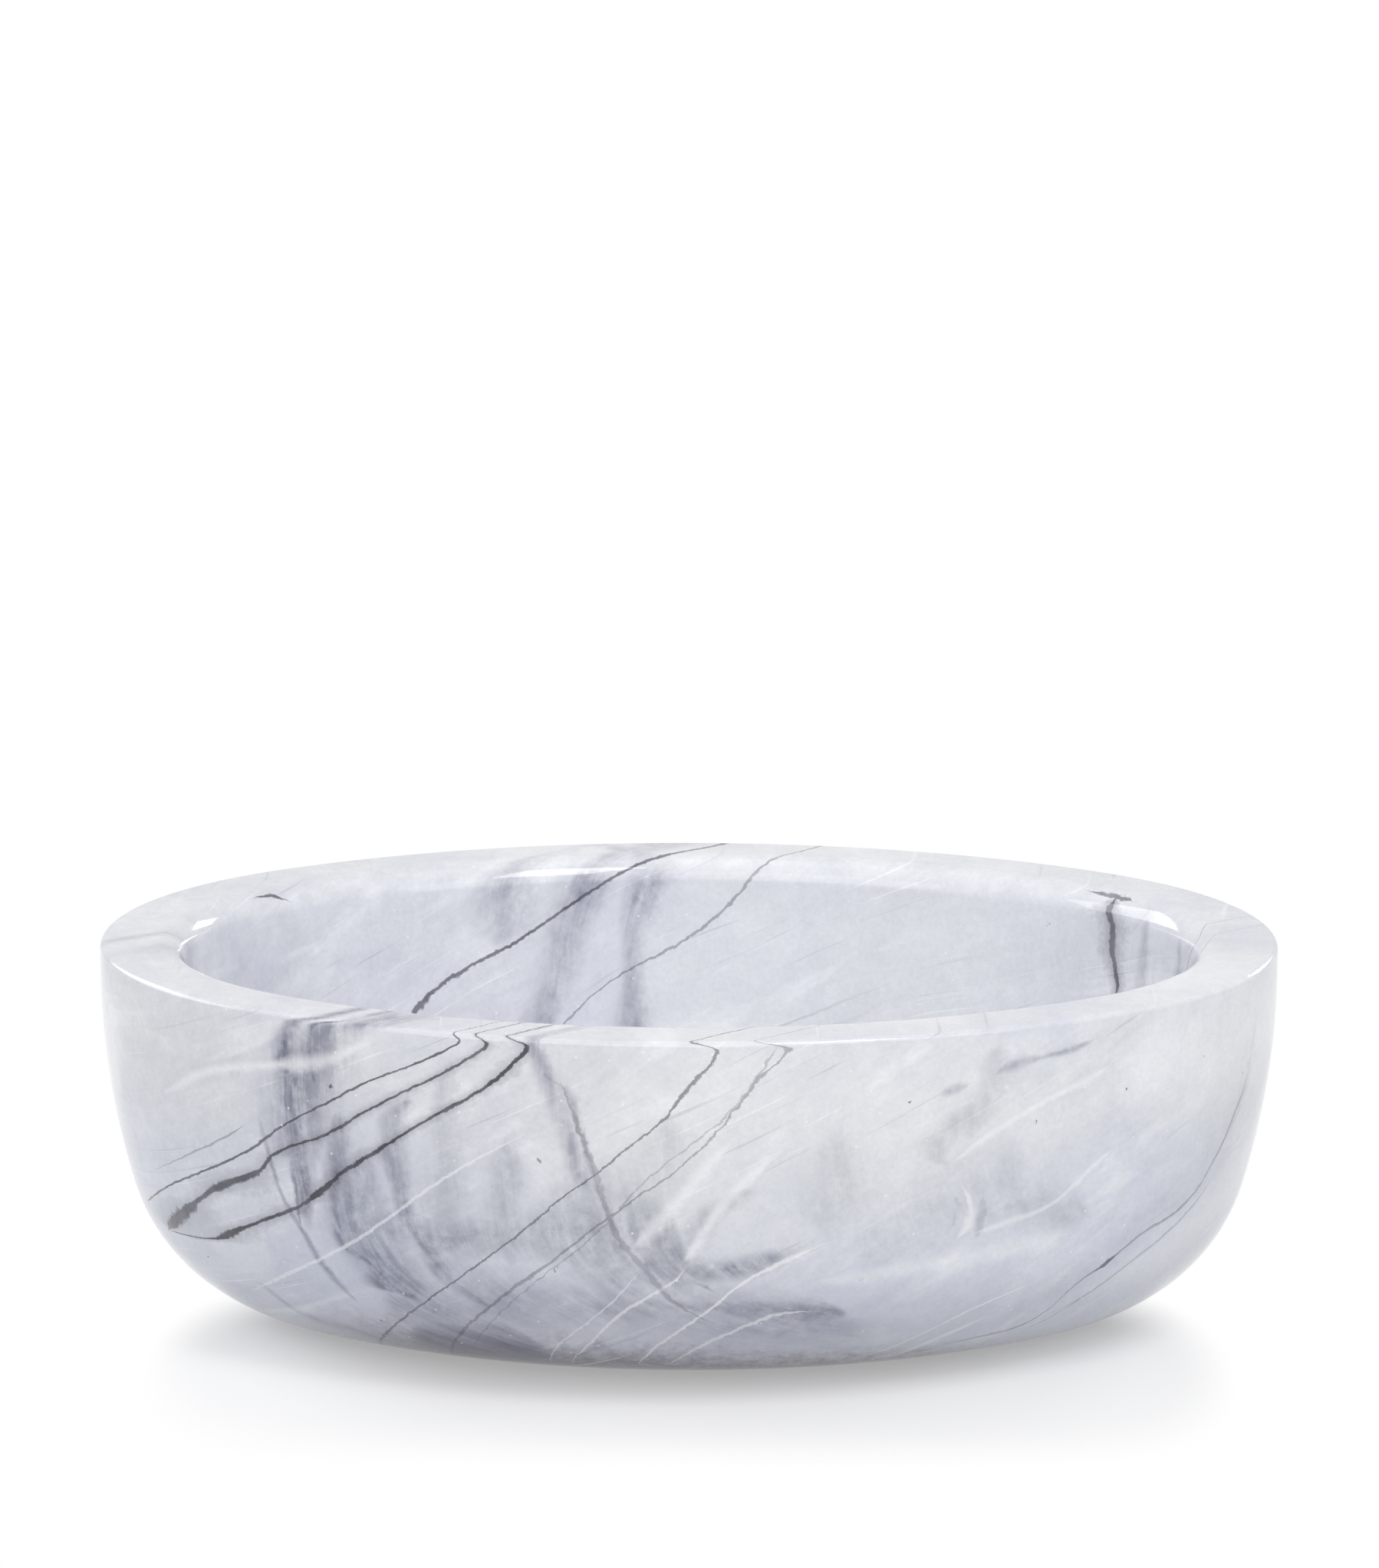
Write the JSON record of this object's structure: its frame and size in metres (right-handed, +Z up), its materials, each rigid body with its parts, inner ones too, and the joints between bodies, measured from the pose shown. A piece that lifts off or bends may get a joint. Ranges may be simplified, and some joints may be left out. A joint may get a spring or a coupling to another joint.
{
  "type": "soap dish",
  "caption": "Free-standing oval soap dish: a thick-walled polished stone bowl with a flat rolled lip and a deep smooth hollow, raised on low rubber bumper feet.",
  "frame": {"origin": "on the surface that the dish stands on, under the middle of the oval", "axes": "+Z up, X along the dish's long axis, Y across it, the pictured face towards -Y"},
  "size_m": [0.14, 0.108, 0.0448],
  "materials": {
    "stone": "gloss",
    "bumper": "matte"
  },
  "bodies": {
    "root": {"bowl": "stone", "foot_front_left": "bumper", "foot_front_right": "bumper", "foot_back_left": "bumper", "foot_back_right": "bumper"}
  },
  "joints": []
}
